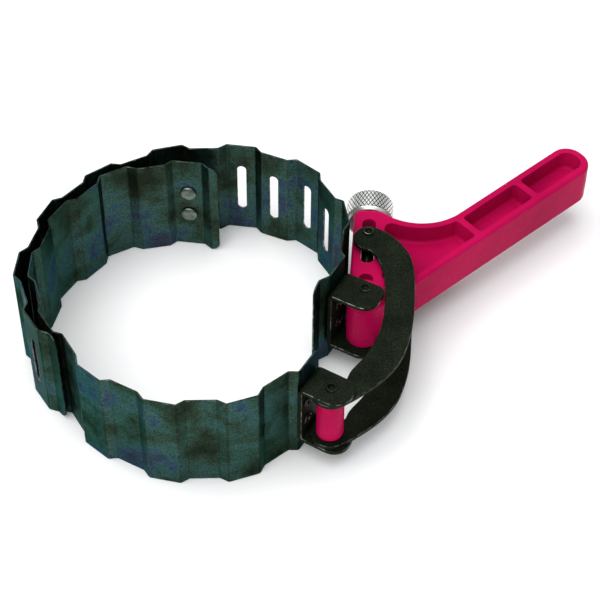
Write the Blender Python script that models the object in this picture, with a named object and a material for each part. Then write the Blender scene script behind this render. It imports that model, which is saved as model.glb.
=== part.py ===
"""Adjustable oil filter wrench: two corrugated spring-steel bands, closed by an over-centre lever.

Two overlapping bands make one open ring. A hook on the inner band's tail sits in one of the outer
band's slots. A folded bracket is riveted to each band's free end. One carries the moulded lever, the
other the pin of two C-shaped links, whose far ends are held by a nut that a knurled screw moves along
a slot in the lever's hub.

Lengths here are millimetres about the ring's centre, +X towards the lever, +Z up, z = 0 at the bands'
lower edges. They become metres in the meshes, and RING_CENTRE puts the origin under the middle of
the whole tool's box.
"""

import math

import bmesh
import bpy
from mathutils import Matrix, Vector

MM = 0.001
RING_CENTRE = Vector((-37.07, -6.44, 0.0))

# bands
BAND_HEIGHT = 38.1
BAND_THICKNESS = 0.5
BAND_MIDDLE = BAND_HEIGHT / 2
FOLD_DEPTH = 2.0        # how far outward and inward flats lie apart
FOLD_RUN = 2.5          # how much of the band's length one slanted wall takes
BAND_CORNER = 3.0
# short turned-in pieces past a band's last fold: (heading, length)
OUTER_FIRST_LIP = (-112, 4.6)
OUTER_LAST_LIP = (-50, 4.0)
INNER_FIRST_LIP = (-9, 2.8)
OUTER_FOLDS = 18
INNER_FOLDS = 17
# polar guide curves that the folds are spaced along: (degrees, radius), counter-clockwise
OUTER_GUIDE = [(-6, 40.7), (7, 46.3), (21, 50.9), (33, 54.2), (50, 56.5), (70, 56.0), (97, 54.0),
               (122, 53.0), (148, 53.7), (180, 54.5), (200, 53.1), (211.5, 51.6)]
INNER_GUIDE = [(88, 44.9), (103, 47.4), (117, 49.1), (130, 50.2), (158, 50.1), (182, 50.1),
               (198, 49.2), (210, 48.2), (218, 48.5), (228, 50.2), (242, 51.5), (255, 52.9), (270, 53.9),
               (281, 54.3), (294, 53.8), (307, 52.1)]
LAST_FLAT = (59.5, 11.2)        # the inner band's straight free end, past its last fold
SLOT_WIDTH = 3.0
SLOT_HEIGHT = 19.5
FIRST_SLOTTED_FLAT = 3

# the link bracket and the pivot bracket, one pattern with a different pin place
BRACKET_WIDTH = 11.4
BRACKET_REACH = 15.6
BRACKET_STEEL = 1.4
BRACKET_HEIGHT = 24.4
BRACKET_BEND = 1.9
BRACKET_INNER_BEND = 0.5
LINK_BRACKET_START = -1.4       # where its near edge lies, from the free end's fold
PIVOT_BRACKET_START = -6.7      # the same, from the middle of the flat it is riveted to
EAR_CORNERS = {"link_bracket": (5.4, 5.4), "pivot_bracket": (5.0, 3.0)}
PIN_RADIUS = 1.45
HOLE_RADIUS = 1.6
LINK_PIN = Vector((42.5, -42.1))
PIVOT_PIN = Vector((53.3, -2.0))
FLEX_AXIS = Vector((-41.6, -29.4))

# lever
LEVER_THICKNESS = 15.1
HUB_BOSS = 5.65
HUB_BOSS_HEIGHT = 21.0
HUB_HALF_WIDTH = 5.2
HUB_LENGTH = 39.1
HUB_ANGLE = 86.5
ARM_ANGLE = 41.47
ARM_NEAR_SIDE = 6.05
ARM_FAR_SIDE = 7.85
ARM_LENGTH = 100.4
ARM_TIP_RADIUS = 6.4
WEB_FILLET = 18.83
FILLET_PLACE = 49.04     # along the arm, where the concave web ends and the straight grip begins
HUB_END_CORNER = (3.4, 3.0)     # where the hub's end meets the web: across the hub, and its radius
RIM = 2.75
POCKET_DEPTH = 6.8
TIP_POCKET_START = 74.75         # places along the arm
MIDDLE_POCKET = (48.15, 72.35)
WEB_POCKET = (12.1, 45.75)
WEB_POCKET_HUB = (9.3, 34.35)    # the web pocket's stretch along the hub, and its distance across it
WEB_POCKET_ACROSS = 5.2
NUT_SLOT_WIDTH = 4.4
NUT_SLOT_SPAN = (15.3, 34.7)
CLIP_HOLE_PLACE = 8.2
CLIP_HOLE_RADIUS = 2.3

# adjuster
NUT_PLACE = 26.0
NUT_RADIUS = 2.05
NUT_LENGTH = 17.6
SCREW_RADIUS = 1.45
SCREW_BORE = 1.65
SCREW_TIP = 6.7
BORE_LENGTH = 33.5
KNOB_RADIUS = 7.75
KNOB_LENGTH = 8.8
KNOB_BORE = 2.0         # how far the knob's blind bore stops short of its far face
KNOB_CHAMFER = 0.8
KNOB_GAP = 0.7

# links and roller
LINK_STEEL = 1.4
ROLLER_RADIUS = 4.25
ROLLER_LENGTH = 17.6
LINK_NUT_END = (Vector((55.1, 21.4)), 5.15)     # the rounded end over the nut: its centre and radius
LINK_PIN_END = 5.9
LINK_OUTER = [(57.6, 25.9), (61.2, 23.5), (64.5, 20.0), (66.9, 16.2), (68.4, 12.2), (69.1, 6.5),
              (69.0, -0.5), (68.3, -11.5), (66.8, -20.5), (63.4, -30.2), (57.5, -38.0),
              (49.7, -44.5), (46.4, -46.6)]
LINK_INNER = [(46.5, -37.6), (49.2, -33.0), (53.2, -27.6), (56.5, -21.0), (58.7, -13.0),
              (59.5, -4.0), (59.5, 3.5), (58.7, 9.0), (56.8, 13.9), (54.4, 16.6)]
RIVET_GAP = 0.15
RIVET_SHANK = 1.3
RIVET_HEAD = 2.0
RIVET_DOME = 1.0
LINK_RIVET_PLACE = 2.1          # along the flat from the free end's fold
PIVOT_RIVET_PLACE = -1.9        # along the flat from its middle
BRACKET_RIVET_SPACING = 8.5

# the size hook on the inner band's tail
HOOK_STEEL = 1.2
HOOK_HEIGHT = 16.0
HOOKED_FLAT = 7
HOOK_RIVET_HEAD = 2.8
HOOK_RIVET_DOME = 1.3
HOOK_RIVET_SPACING = 9.7
HOOK_PLATE = (3.6, -3.4)        # the riveted plate's two ends, from the middle of the tail's flat
HOOK_FIN_INSIDE = 1.6           # where the fin sets off, inside the slotted flat
HOOK_CLEARANCE = 0.5            # between the slotted band and the turned end outside it
HOOK_TURNED_END = (0.8, 2.9)
HOOK_CORNER = 1.5


def rot(degrees):
    """A unit vector in plan at this heading."""
    return Vector((math.cos(math.radians(degrees)), math.sin(math.radians(degrees))))


HUB_ALONG = rot(HUB_ANGLE)
HUB_ACROSS = rot(HUB_ANGLE - 90)
ARM_ALONG = rot(ARM_ANGLE)
ARM_ACROSS = rot(ARM_ANGLE + 90)


def on_hub(along, across=0.0):
    return PIVOT_PIN + HUB_ALONG * along + HUB_ACROSS * across


def on_arm(along, across=0.0):
    return PIVOT_PIN + ARM_ALONG * along + ARM_ACROSS * across


# ---------------------------------------------------------------- outlines

def arc(centre, radius, first, last, steps):
    """Points on an arc in plan, both ends included."""
    return [centre + rot(first + (last - first) * i / steps) * radius for i in range(steps + 1)]


def smooth(points, steps):
    """A Catmull-Rom curve through points, both ends included."""
    ends = [points[0] * 2 - points[1]] + list(points) + [points[-1] * 2 - points[-2]]
    curve = []
    for a, b, c, d in zip(ends, ends[1:], ends[2:], ends[3:]):
        for i in range(steps):
            t = i / steps
            curve.append(0.5 * (2 * b + (c - a) * t + (2 * a - 5 * b + 4 * c - d) * t * t
                                + (3 * b - 3 * c + d - a) * t ** 3))
    return curve + [points[-1]]


def rounded(corners, steps=5):
    """A closed outline from (point, radius) corners, each one turned into an arc."""
    outline = []
    for i, (corner, radius) in enumerate(corners):
        before = (corners[i - 1][0] - corner).normalized()
        after = (corners[(i + 1) % len(corners)][0] - corner).normalized()
        half = before.angle(after) / 2
        if radius == 0:
            outline.append(corner)
            continue
        centre = corner + (before + after).normalized() * (radius / math.sin(half))
        start = corner + before * (radius / math.tan(half)) - centre
        sweep = math.pi - 2 * half
        turn = -1 if before.x * after.y - before.y * after.x > 0 else 1
        for k in range(steps + 1):
            angle = turn * sweep * k / steps
            c, s = math.cos(angle), math.sin(angle)
            outline.append(centre + Vector((start.x * c - start.y * s, start.x * s + start.y * c)))
    return outline


def stretch(centre, along, length, width, steps=8):
    """A slot outline with round ends: length end to end, along one direction."""
    heading = math.degrees(math.atan2(along.y, along.x))
    half = along * (length - width) / 2
    return (arc(centre + half, width / 2, heading - 90, heading + 90, steps)
            + arc(centre - half, width / 2, heading + 90, heading + 270, steps))


def along_curve(curve, distance):
    """The point at this distance along a polyline."""
    for a, b in zip(curve, curve[1:]):
        step = (b - a).length
        if distance <= step:
            return a + (b - a) * (distance / step)
        distance -= step
    return curve[-1]


def band_path(guide, folds):
    """The band's middle line: flats alternately FOLD_DEPTH/2 outside and inside the guide curve."""
    curve = smooth([rot(degrees) * radius for degrees, radius in guide], 12)
    total = sum((b - a).length for a, b in zip(curve, curve[1:]))
    path = []
    for k in range(folds):
        for side in (-1, 1):
            at = total * k / (folds - 1) + side * FOLD_RUN / 2
            point = along_curve(curve, min(max(at, 0), total))
            if not 0 <= at <= total:
                beyond = (curve[1] - curve[0]) if at < 0 else (curve[-1] - curve[-2])
                point = point + beyond.normalized() * side * FOLD_RUN / 2
            outward = side if k % 2 == 0 else -side
            path.append(point + point.normalized() * outward * FOLD_DEPTH / 2)
    return path


def flat_of(path, k):
    """The k-th flat between folds, as (its middle, along, outward normal)."""
    a, b = path[2 * k + 1], path[2 * k + 2]
    along = (b - a).normalized()
    return (a + b) / 2, along, Vector((along.y, -along.x))


# ---------------------------------------------------------------- meshes

def material(name, colour, roughness, metallic=0.0):
    found = bpy.data.materials.get(name)
    if found:
        return found
    made = bpy.data.materials.new(name)
    made.use_nodes = True
    shader = made.node_tree.nodes["Principled BSDF"]
    shader.inputs["Base Color"].default_value = (*colour, 1)
    shader.inputs["Roughness"].default_value = roughness
    shader.inputs["Metallic"].default_value = metallic
    return made


def outward(bm):
    """Turns a closed mesh's faces so that they all point out."""
    bmesh.ops.recalc_face_normals(bm, faces=bm.faces)
    if bm.calc_volume(signed=True) < 0:
        bmesh.ops.reverse_faces(bm, faces=bm.faces)
    return bm


def prism(outline, low, high):
    """A closed outline in plan, extruded from one height to another."""
    bm = bmesh.new()
    lower = bm.faces.new([bm.verts.new((p.x, p.y, low)) for p in outline])
    top = bmesh.ops.extrude_face_region(bm, geom=[lower])["geom"]
    bmesh.ops.translate(bm, vec=(0, 0, high - low),
                        verts=[v for v in top if isinstance(v, bmesh.types.BMVert)])
    return outward(bm)


def lathe(profile, segments=24):
    """A (radius, height) profile turned about +Z. Both its ends lie on the axis, or it is a ring."""
    bm = bmesh.new()
    rings = []
    for radius, height in profile:
        if radius == 0:
            rings.append([bm.verts.new((0, 0, height))])
            continue
        turns = [2 * math.pi * i / segments for i in range(segments)]
        rings.append([bm.verts.new((radius * math.cos(a), radius * math.sin(a), height))
                      for a in turns])
    closed = profile[0][0] > 0
    pairs = zip(rings, rings[1:] + rings[:1]) if closed else zip(rings, rings[1:])
    for lower, upper in pairs:
        for i in range(segments):
            j = (i + 1) % segments
            corners = [lower[i % len(lower)], lower[j % len(lower)],
                       upper[j % len(upper)], upper[i % len(upper)]]
            bm.faces.new(list(dict.fromkeys(corners)))
    return outward(bm)


def ribbon(path, thickness, low, high, corner=0.0, steps=4):
    """A strip standing on edge along a plan path, its free ends' corners rounded."""
    insets = [corner * (1 - math.sin(math.pi / 2 * i / steps)) for i in range(steps)]
    places = [corner * (1 - math.cos(math.pi / 2 * i / steps)) for i in range(steps)]
    if corner:
        first = (path[1] - path[0]).normalized()
        last = (path[-2] - path[-1]).normalized()
        head = [(path[0] + first * d, inset) for d, inset in zip(places, insets)]
        tail = [(path[-1] + last * d, inset) for d, inset in zip(places, insets)][::-1]
        stations = head + [(p, 0.0) for p in path[1:-1]] + tail
    else:
        stations = [(p, 0.0) for p in path]
    bm = bmesh.new()
    rows = []
    for i, (point, inset) in enumerate(stations):
        before = (point - stations[i - 1][0]).normalized() if i else None
        after = (stations[i + 1][0] - point).normalized() if i + 1 < len(stations) else None
        along = ((before or after) + (after or before)).normalized()
        normal = Vector((along.y, -along.x))
        widen = 1 / max(along.dot(after or before), 0.5)
        side = normal * (thickness / 2 * widen)
        rows.append([bm.verts.new((q.x, q.y, z)) for q, z in
                     ((point + side, low + inset), (point + side, high - inset),
                      (point - side, high - inset), (point - side, low + inset))])
    for a, b in zip(rows, rows[1:]):
        for i in range(4):
            j = (i + 1) % 4
            bm.faces.new((a[i], a[j], b[j], b[i]))
    bm.faces.new(rows[0])
    bm.faces.new(rows[-1])
    return outward(bm)


def pivot(name, place, height=0.0):
    """An empty on a joint's axis, which carries the pieces that move about it."""
    empty = bpy.data.objects.new(name, None)
    empty.location = (Vector((place.x, place.y, height)) + RING_CENTRE) * MM
    empty.empty_display_size = 10 * MM
    bpy.context.collection.objects.link(empty)
    return empty


def piece(name, bm, parent, finish, place=None):
    """One object under its joint's empty. place is a matrix for a shape made about its own axis."""
    holder = parent.location / MM - RING_CENTRE
    mesh = bpy.data.meshes.new(name)
    if place is None:
        bmesh.ops.translate(bm, vec=-holder, verts=bm.verts)
    bmesh.ops.scale(bm, vec=(MM, MM, MM), verts=bm.verts)
    bm.to_mesh(mesh)
    bm.free()
    mesh.shade_smooth()
    mesh.set_sharp_from_angle(angle=math.radians(35))
    made = bpy.data.objects.new(name, mesh)
    bpy.context.collection.objects.link(made)
    made.parent = parent
    if place is not None:
        spot = place.translation - holder
        made.rotation_euler = place.to_euler()
        made.location = spot * MM
    if finish:
        mesh.materials.append(finish)
    return made


def turned_to(place, direction):
    """A matrix that stands a lathed shape on a point, its +Z along a direction."""
    return Matrix.Translation(place) @ direction.to_track_quat("Z", "Y").to_matrix().to_4x4()


def flat3(point, height):
    return Vector((point.x, point.y, height))


def cut(target, bm, operation="DIFFERENCE", place=None):
    """Leaves a Boolean on a piece, with a hidden cutter that rides with it."""
    cutter = piece(f"{target.name}_cutter", bm, target.parent, None, place)
    cutter.hide_render = True
    cutter.display_type = "WIRE"
    boolean = target.modifiers.new(operation.title(), "BOOLEAN")
    boolean.operation = operation
    boolean.solver = "EXACT"
    boolean.object = cutter


def merged(meshes):
    """Several closed shapes in one mesh, for one cutter."""
    whole = bmesh.new()
    for bm in meshes:
        spare = bpy.data.meshes.new("spare")
        bm.to_mesh(spare)
        bm.free()
        whole.from_mesh(spare)
        bpy.data.meshes.remove(spare)
    return whole


def drill(radius, length, place, direction, segments=24):
    """A cylinder centred on a point, along a direction, in ring coordinates."""
    bm = lathe([(0, -length / 2), (radius, -length / 2), (radius, length / 2), (0, length / 2)],
               segments)
    bm.transform(turned_to(place, direction))
    return bm


# ---------------------------------------------------------------- sub-parts

def band_paths():
    outer = band_path(OUTER_GUIDE, OUTER_FOLDS)
    inner = band_path(INNER_GUIDE, INNER_FOLDS)
    outer = [outer[0] + rot(OUTER_FIRST_LIP[0]) * OUTER_FIRST_LIP[1]] + outer
    outer = outer + [outer[-1] + rot(OUTER_LAST_LIP[0]) * OUTER_LAST_LIP[1]]
    inner = [inner[0] - rot(INNER_FIRST_LIP[0] + 180) * INNER_FIRST_LIP[1]] + inner
    inner = inner + [inner[-1] + rot(LAST_FLAT[0]) * LAST_FLAT[1]]
    return outer, inner


def band(name, path, parent, finish):
    return piece(name, ribbon(path, BAND_THICKNESS, 0, BAND_HEIGHT, BAND_CORNER), parent, finish)


def cut_slots(outer_band, path):
    """One upright slot in every flat past the pivot bracket's end, for the hook to be moved to."""
    slots = []
    for k in range(FIRST_SLOTTED_FLAT, OUTER_FOLDS - 1):
        middle, along, normal = flat_of(path[1:], k)
        shape = prism(stretch(Vector((0, 0)), Vector((0, 1)), SLOT_HEIGHT, SLOT_WIDTH, 6), -2, 2)
        shape.transform(Matrix(((along.x, 0, normal.x, middle.x), (along.y, 0, normal.y, middle.y),
                                (0, 1, 0, BAND_MIDDLE), (0, 0, 0, 1))))
        slots.append(outward(shape))
    cut(outer_band, merged(slots))


def bracket(name, corner, along, normal, start, pin, parent, finish):
    """A strip folded into a channel: its back lies on a band's flat, its two ears carry a pin."""
    back = BAND_THICKNESS / 2 + RIVET_GAP
    low, high = BAND_MIDDLE - BRACKET_HEIGHT / 2, BAND_MIDDLE + BRACKET_HEIGHT / 2
    steel = BRACKET_STEEL
    reach = BRACKET_REACH + 1
    channel = rounded([(Vector((reach, high)), 0), (Vector((back, high)), BRACKET_BEND),
                       (Vector((back, low)), BRACKET_BEND), (Vector((reach, low)), 0),
                       (Vector((reach, low + steel)), 0),
                       (Vector((back + steel, low + steel)), BRACKET_INNER_BEND),
                       (Vector((back + steel, high - steel)), BRACKET_INNER_BEND),
                       (Vector((reach, high - steel)), 0)], 4)
    bm = prism(channel, start, start + BRACKET_WIDTH)
    bm.transform(Matrix(((normal.x, 0, along.x, corner.x), (normal.y, 0, along.y, corner.y),
                         (0, 1, 0, 0), (0, 0, 0, 1))))
    made = piece(name, outward(bm), parent, finish)
    near, far = EAR_CORNERS[name]

    def at(t, n):
        return corner + along * t + normal * n

    end = start + BRACKET_WIDTH
    slack = 0.01
    ears = rounded([(at(start - slack, -2), 0), (at(start - slack, BRACKET_REACH), near),
                    (at(end + slack, BRACKET_REACH), far), (at(end + slack, -2), 0)], 8)
    cut(made, prism(ears, low - 1, high + 1), "INTERSECT")
    cut(made, drill(HOLE_RADIUS, BRACKET_HEIGHT + 4, flat3(pin, BAND_MIDDLE), Vector((0, 0, 1))))
    return made


def rivet(name, place, direction, grip, head, dome, parent, finish):
    """A domed rivet: its head lies behind place, its tail is set grip further along direction."""
    low, high = -RIVET_GAP, grip + RIVET_GAP
    crown = [(head * math.sin(a), low - dome * math.cos(a))
             for a in (0, 0.45, 0.9, 1.25)]
    tail = [(RIVET_HEAD * 0.95, high), (RIVET_HEAD * 0.9, high + dome * 0.35),
            (RIVET_HEAD * 0.45, high + dome * 0.6), (0, high + dome * 0.65)]
    profile = crown + [(head, low - 0.2), (head, low), (RIVET_SHANK, low), (RIVET_SHANK, high)] + tail
    return piece(name, lathe(profile, 16), parent, finish, turned_to(place, direction))


def rivet_pair(names, middle, direction, spacing, grip, head, dome, parent, finish, holed):
    """Two rivets one above the other, and their holes through every sheet they hold."""
    for name, side in zip(names, (1, -1)):
        place = flat3(middle, BAND_MIDDLE + side * spacing / 2)
        rivet(name, place, flat3(direction, 0), grip, head, dome, parent, finish)
    for sheet in holed:
        cut(sheet, merged([drill(RIVET_SHANK + RIVET_GAP, 2 * grip + 2,
                                 flat3(middle, BAND_MIDDLE + side * spacing / 2),
                                 flat3(direction, 0)) for side in (1, -1)]))


def pin_profile(low, high, radius, flare, seat_low, seat_high):
    """A pin with dimpled ends, flared past the plates that it holds."""
    dimple = radius * 0.62
    return [(0, low + 1.0), (dimple * 0.9, low + 0.75), (dimple, low), (flare - 0.25, low),
            (flare, low + 0.2), (flare, seat_low), (radius, seat_low),
            (radius, seat_high), (flare, seat_high), (flare, high - 0.2), (flare - 0.25, high),
            (dimple, high), (dimple * 0.9, high - 0.75), (0, high - 1.0)]


def cross_pin(name, place, parent, finish):
    half = BRACKET_HEIGHT / 2
    profile = pin_profile(-half - 0.8, half + 0.8, PIN_RADIUS, PIN_RADIUS + 0.4,
                          -half - RIVET_GAP, half + RIVET_GAP)
    return piece(name, lathe(profile, 20), parent, finish,
                 Matrix.Translation(flat3(place, BAND_MIDDLE)))


def size_hook(inner_path, outer_path, parent, finish):
    """The hook: a plate on the tail's outer face, a fin through the slot, and a short turned end."""
    tail, along, normal = flat_of(inner_path[1:], 0)
    slot, slot_along, slot_normal = flat_of(outer_path[1:], HOOKED_FLAT)
    lift = BAND_THICKNESS / 2 + RIVET_GAP + HOOK_STEEL / 2
    past = BAND_THICKNESS / 2 + HOOK_CLEARANCE + HOOK_STEEL / 2
    outside = slot + slot_normal * past
    path = [tail + along * place + normal * lift for place in HOOK_PLATE]
    path += [slot - slot_normal * HOOK_FIN_INSIDE, outside - slot_normal * HOOK_STEEL / 2]
    path += [outside - slot_along * place for place in HOOK_TURNED_END]
    bm = ribbon(path, HOOK_STEEL, BAND_MIDDLE - HOOK_HEIGHT / 2, BAND_MIDDLE + HOOK_HEIGHT / 2,
                HOOK_CORNER)
    return piece("size_hook", bm, parent, finish), tail, normal


def lever_outline():
    shoulder = math.degrees(math.acos(math.sqrt(HUB_BOSS ** 2 - HUB_HALF_WIDTH ** 2) / HUB_BOSS))
    boss = arc(PIVOT_PIN, HUB_BOSS, HUB_ANGLE + shoulder, 270 + ARM_ANGLE, 20)
    fillet = arc(on_arm(FILLET_PLACE, ARM_FAR_SIDE + WEB_FILLET), WEB_FILLET,
                 ARM_ANGLE - 90, -124, 12)
    corners = [(p, 0) for p in boss]
    corners += [(on_arm(ARM_LENGTH, -ARM_NEAR_SIDE), ARM_TIP_RADIUS),
                (on_arm(ARM_LENGTH, ARM_FAR_SIDE), ARM_TIP_RADIUS)]
    corners += [(p, 0) for p in fillet]
    across, radius = HUB_END_CORNER
    corners += [(on_hub(HUB_LENGTH, across), radius), (on_hub(HUB_LENGTH, -HUB_HALF_WIDTH), 1.6)]
    return rounded(corners, 10)


def arm_pocket(start, end, end_radius):
    """A straight pocket between the arm's two rims."""
    near, far = RIM - ARM_NEAR_SIDE, ARM_FAR_SIDE - RIM
    return rounded([(on_arm(start, near), 1.0), (on_arm(end, near), end_radius),
                    (on_arm(end, far), end_radius), (on_arm(start, far), 1.0)])


def web_pocket():
    """The large pocket in the web, between the hub, the arm's start and the concave rim."""
    near, far = RIM - ARM_NEAR_SIDE, ARM_FAR_SIDE - RIM
    start, end = WEB_POCKET
    low, high = WEB_POCKET_HUB
    rim = arc(on_arm(FILLET_PLACE, ARM_FAR_SIDE + WEB_FILLET), WEB_FILLET + RIM,
              ARM_ANGLE - 102, -112, 10)
    corners = [(on_hub(low, WEB_POCKET_ACROSS), 1.0), (on_arm(start, near), 1.0),
               (on_arm(end, near), 1.0), (on_arm(end, far + 0.35), 0.8)]
    corners += [(p, 0) for p in rim]
    corners += [(on_hub(high, WEB_POCKET_ACROSS), 2.4)]
    return rounded(corners)


def pocket_outlines():
    return [arm_pocket(TIP_POCKET_START, ARM_LENGTH - RIM, 3.8), arm_pocket(*MIDDLE_POCKET, 1.0),
            web_pocket()]


def lever(parent, finish):
    low, high = BAND_MIDDLE - LEVER_THICKNESS / 2, BAND_MIDDLE + LEVER_THICKNESS / 2
    made = piece("lever_handle", prism(lever_outline(), low, high), parent, finish)
    boss = lathe([(0, -HUB_BOSS_HEIGHT / 2), (HUB_BOSS - 0.1, -HUB_BOSS_HEIGHT / 2),
                  (HUB_BOSS - 0.1, HUB_BOSS_HEIGHT / 2), (0, HUB_BOSS_HEIGHT / 2)], 48)
    bmesh.ops.translate(boss, vec=flat3(PIVOT_PIN, BAND_MIDDLE), verts=boss.verts)
    cut(made, boss, "UNION")
    pockets = []
    for outline in pocket_outlines():
        pockets.append(prism(outline, high - POCKET_DEPTH, high + 5))
        pockets.append(prism(outline, low - 5, low + POCKET_DEPTH))
    cut(made, merged(pockets))
    first, last = NUT_SLOT_SPAN
    slot = stretch(on_hub((first + last) / 2), HUB_ALONG, last - first, NUT_SLOT_WIDTH)
    cut(made, prism(slot, low - 5, high + 5))
    up = Vector((0, 0, 1))
    cut(made, merged([drill(HOLE_RADIUS, 40, flat3(PIVOT_PIN, BAND_MIDDLE), up),
                      drill(CLIP_HOLE_RADIUS, 40, flat3(on_hub(CLIP_HOLE_PLACE), BAND_MIDDLE), up)]))
    bore_middle = on_hub(SCREW_TIP - 0.2 + BORE_LENGTH / 2)
    cut(made, drill(SCREW_BORE, BORE_LENGTH, flat3(bore_middle, BAND_MIDDLE), flat3(HUB_ALONG, 0)))
    return made


def adjuster(turning, sliding, bright, steel):
    """The knurled knob, its screw, the ring that keeps the screw in the hub, and the nut."""
    along = flat3(HUB_ALONG, 0)
    start = HUB_LENGTH + KNOB_GAP
    knob = [(0, KNOB_LENGTH - KNOB_BORE), (SCREW_BORE, KNOB_LENGTH - KNOB_BORE), (SCREW_BORE, 0),
            (KNOB_RADIUS - KNOB_CHAMFER, 0), (KNOB_RADIUS, KNOB_CHAMFER),
            (KNOB_RADIUS, KNOB_LENGTH - KNOB_CHAMFER), (KNOB_RADIUS - KNOB_CHAMFER, KNOB_LENGTH),
            (0, KNOB_LENGTH)]
    piece("knurled_knob", lathe(knob, 48), turning, bright,
          turned_to(flat3(on_hub(start), BAND_MIDDLE), along))
    length = start + KNOB_LENGTH - KNOB_BORE - 0.3 - SCREW_TIP
    groove = CLIP_HOLE_PLACE - SCREW_TIP
    screw = [(0, 0), (SCREW_RADIUS - 0.3, 0), (SCREW_RADIUS, 0.3), (SCREW_RADIUS, groove - 0.5),
             (SCREW_RADIUS - 0.4, groove - 0.5), (SCREW_RADIUS - 0.4, groove + 0.5),
             (SCREW_RADIUS, groove + 0.5), (SCREW_RADIUS, length), (0, length)]
    piece("adjuster_screw", lathe(screw), turning, steel,
          turned_to(flat3(on_hub(SCREW_TIP), BAND_MIDDLE), along))
    ring = [(SCREW_RADIUS - 0.25, -0.3), (CLIP_HOLE_RADIUS - 0.35, -0.3),
            (CLIP_HOLE_RADIUS - 0.35, 0.3), (SCREW_RADIUS - 0.25, 0.3)]
    piece("screw_clip", lathe(ring), turning, steel,
          turned_to(flat3(on_hub(CLIP_HOLE_PLACE), BAND_MIDDLE), along))
    half = NUT_LENGTH / 2
    barrel = [(0, -half), (NUT_RADIUS - 0.3, -half), (NUT_RADIUS, 0.3 - half),
              (NUT_RADIUS, half - 0.3), (NUT_RADIUS - 0.3, half), (0, half)]
    nut = piece("adjuster_nut", lathe(barrel, 32), sliding, steel,
                Matrix.Translation(flat3(on_hub(NUT_PLACE), BAND_MIDDLE)))
    cut(nut, drill(SCREW_RADIUS + 0.12, 10, flat3(on_hub(NUT_PLACE), BAND_MIDDLE), along))


def link_outline():
    """A C-shaped plate, counter-clockwise: outer edge, nut end, inner edge, pin end."""
    outer = smooth([Vector(p) for p in LINK_OUTER], 3)[::-1]
    inner = smooth([Vector(p) for p in LINK_INNER], 3)[::-1]
    centre, radius = LINK_NUT_END
    nut_end = arc(centre, radius, 72, 262, 12)
    pin_end = arc(LINK_PIN, LINK_PIN_END, 100, 295, 14)
    return outer[:-1] + nut_end + inner[1:] + pin_end


def links(parent, steel):
    """The two plates, and the nut's flared ends in them."""
    half = HUB_BOSS_HEIGHT / 2
    nut = on_hub(NUT_PLACE)
    for name, side in (("upper", 1), ("lower", -1)):
        faces = sorted((BAND_MIDDLE + side * (half - LINK_STEEL), BAND_MIDDLE + side * half))
        plate = piece(f"link_{name}", prism(link_outline(), *faces), parent, steel)
        middle = BAND_MIDDLE + side * (half - LINK_STEEL / 2)
        cut(plate, merged([drill(HOLE_RADIUS, 4, flat3(place, middle), Vector((0, 0, 1)))
                           for place in (LINK_PIN, nut)]))
        flare = PIN_RADIUS + 0.4
        dimple = PIN_RADIUS * 0.62
        stub = [(0, half - LINK_STEEL), (PIN_RADIUS, half - LINK_STEEL),
                (PIN_RADIUS, half + RIVET_GAP), (flare, half + RIVET_GAP),
                (flare, half + 0.5), (flare - 0.25, half + 0.7), (dimple, half + 0.7),
                (dimple * 0.9, half), (0, half - 0.2)]
        turn = Matrix.Translation(flat3(nut, BAND_MIDDLE)) @ Matrix.Rotation(
            0 if side > 0 else math.pi, 4, "X")
        piece(f"nut_trunnion_{name}", lathe(stub, 20), parent, steel, turn)


def roller(parent, finish):
    half = ROLLER_LENGTH / 2
    wall = [(HOLE_RADIUS, -half), (ROLLER_RADIUS - 0.6, -half), (ROLLER_RADIUS - 0.18, 0.18 - half),
            (ROLLER_RADIUS, 0.6 - half), (ROLLER_RADIUS, half - 0.6),
            (ROLLER_RADIUS - 0.18, half - 0.18), (ROLLER_RADIUS - 0.6, half), (HOLE_RADIUS, half)]
    piece("roller", lathe(wall, 36), parent, finish,
          Matrix.Translation(flat3(LINK_PIN, BAND_MIDDLE)))


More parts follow.
